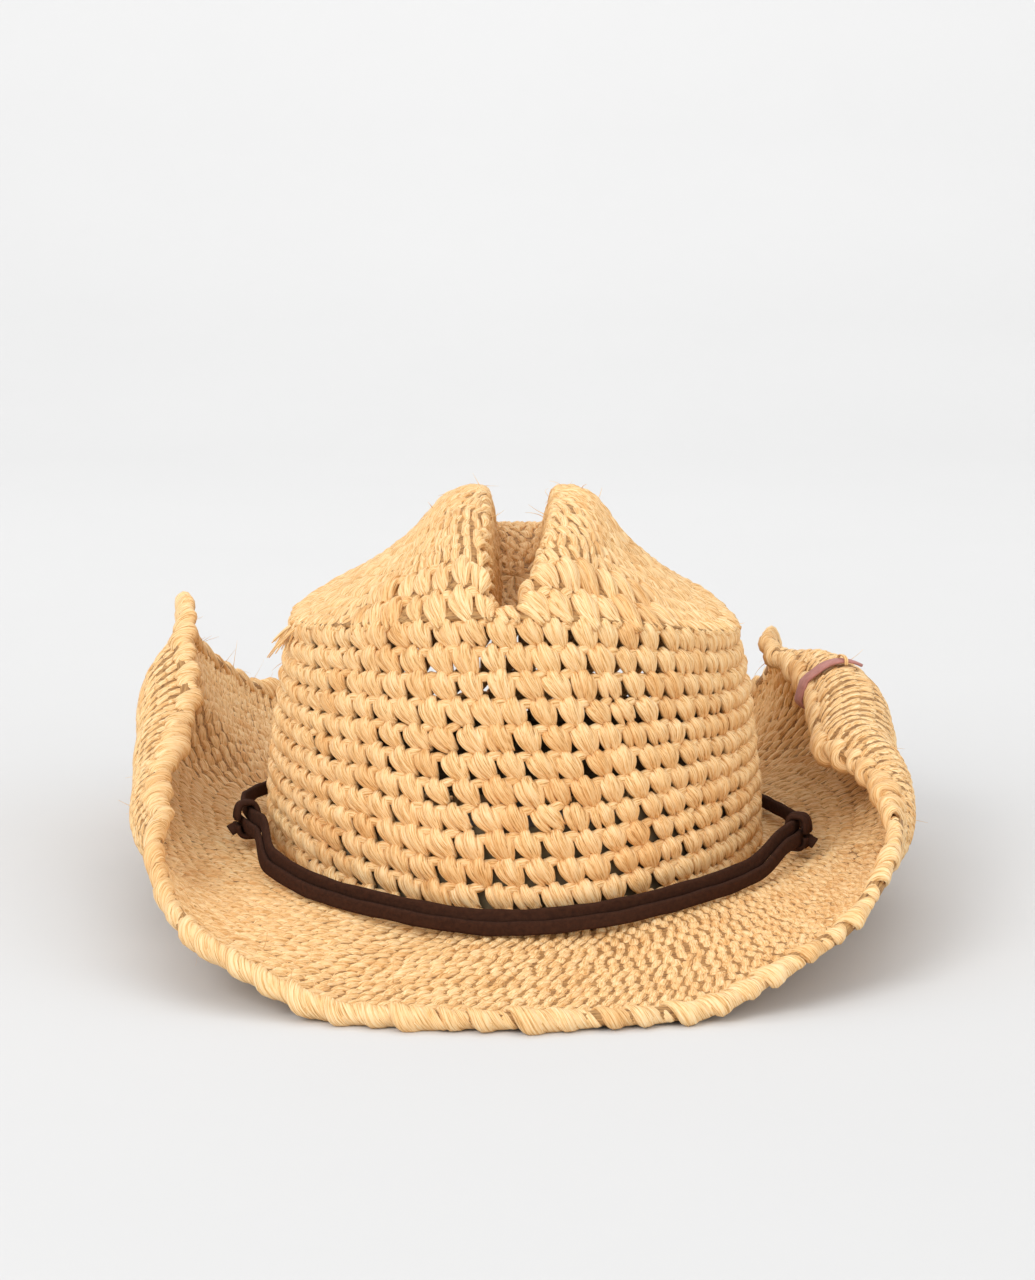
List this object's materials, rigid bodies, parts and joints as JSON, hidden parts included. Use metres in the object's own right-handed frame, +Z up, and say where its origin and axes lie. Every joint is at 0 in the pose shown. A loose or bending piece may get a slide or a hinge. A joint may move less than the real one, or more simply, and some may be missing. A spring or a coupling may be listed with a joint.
{
  "type": "crocheted cowboy hat",
  "caption": "Crocheted straw cowboy hat with creased openwork crown, wired brim curled up at both sides, sweatband, and an adjustable suede lace band with sliding knots.",
  "frame": {"origin": "bottom centre of the hat's bounding box, on the plane it rests on", "axes": "+Z up; -Y is the front of the hat, +Y the back; +X is towards the wearer's left ear"},
  "size_m": [0.2686, 0.3906, 0.139],
  "materials": {
    "raffia": "matte crocheted straw",
    "steel": "galvanised",
    "cotton": "ribbed cotton",
    "thread": "sewing thread",
    "suede": "suede",
    "leather": "smooth"
  },
  "bodies": {
    "hat": {"crown_top": "raffia", "crown_wall": "raffia", "brim": "raffia", "brim_edge_round": "raffia", "brim_wire": "steel", "wire_sleeve": "steel", "sweatband": "cotton", "sweatband_tape": "cotton", "sweatband_thread": "thread", "leather_tag": "leather", "tag_stitch_outer": "raffia", "tag_stitch_inner": "raffia"},
    "band": {"band_lace": "suede"},
    "knot_left": {"knot_left": "suede"},
    "knot_right": {"knot_right": "suede"}
  },
  "joints": [
    {"name": "band_lift", "type": "slide", "parent": "hat", "child": "band", "axis": [0, 0, 1], "range_m": [0, 0.12]},
    {"name": "knot_left_slide", "type": "hinge", "parent": "band", "child": "knot_left", "pos_m": [-0.0004, -0.006, 0.029], "axis": [0, 0, 1], "range_deg": [-2.5, 5]},
    {"name": "knot_right_slide", "type": "hinge", "parent": "band", "child": "knot_right", "pos_m": [-0.0004, -0.006, 0.025], "axis": [0, 0, 1], "range_deg": [-5, 2.5]}
  ]
}
